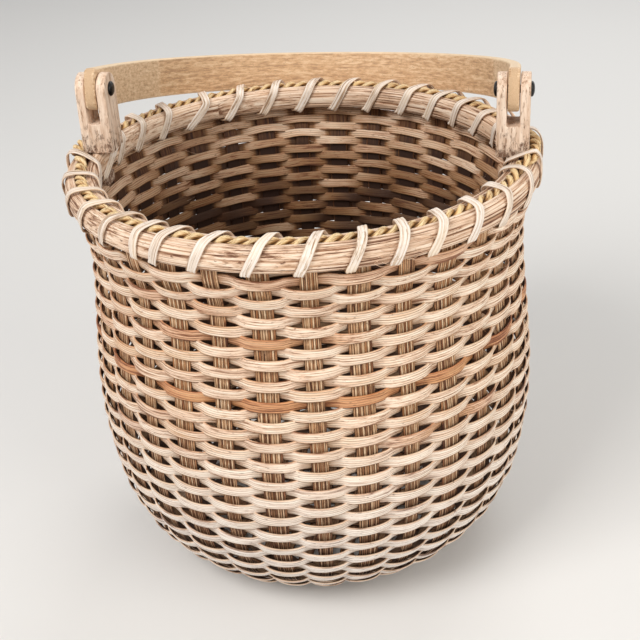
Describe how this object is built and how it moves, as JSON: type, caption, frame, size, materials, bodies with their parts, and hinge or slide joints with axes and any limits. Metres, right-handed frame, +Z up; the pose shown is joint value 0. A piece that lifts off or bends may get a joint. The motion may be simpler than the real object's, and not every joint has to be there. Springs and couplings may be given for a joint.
{
  "type": "market basket",
  "caption": "Round open market basket of plain-woven flat reed with a lashed double rim, wooden ears and a bent wood swing handle turning on black pins.",
  "frame": {"origin": "middle of the base's underside, on the flat of the middle stake", "axes": "+Z up the middle of the basket, X along the handle's two pins, +Y towards the side of the rim that the handle rests on"},
  "size_m": [0.3068, 0.33, 0.3344],
  "materials": {
    "stake_reed": "rough",
    "weaver_reed": "matt",
    "band_reed": "matt",
    "seagrass": "rough",
    "lash_reed": "matt",
    "ear_wood": "sanded",
    "handle_wood": "sanded",
    "black_pin": "satin"
  },
  "bodies": {
    "basket": {"weaver_a_1": "weaver_reed", "weaver_a_2": "weaver_reed", "weaver_a_3": "weaver_reed", "weaver_a_4": "weaver_reed", "weaver_a_5": "weaver_reed", "weaver_b_1": "weaver_reed", "weaver_b_2": "weaver_reed", "weaver_b_3": "weaver_reed", "weaver_b_4": "weaver_reed", "weaver_b_5": "weaver_reed", "front_stake_1": "stake_reed", "front_stake_2": "stake_reed", "front_stake_3": "stake_reed", "front_stake_4": "stake_reed", "front_stake_5": "stake_reed", "front_stake_6": "stake_reed", "front_stake_7": "stake_reed", "front_stake_8": "stake_reed", "front_stake_9": "stake_reed", "side_stake_1": "stake_reed", "side_stake_2": "stake_reed", "side_stake_3": "stake_reed", "side_stake_4": "stake_reed", "side_stake_5": "stake_reed", "side_stake_6": "stake_reed", "side_stake_7": "stake_reed", "outer_rim_band": "band_reed", "inner_rim_band": "band_reed", "rim_seagrass": "seagrass", "rim_lashing": "lash_reed", "left_ear": "ear_wood", "right_ear": "ear_wood", "left_pin": "black_pin", "right_pin": "black_pin"},
    "handle": {"handle": "handle_wood"}
  },
  "joints": [
    {"name": "handle_swing", "type": "hinge", "parent": "basket", "child": "handle", "pos_m": [0, 0, 0.3202], "axis": [1, 0, 0], "range_deg": [0, 205.5]}
  ]
}
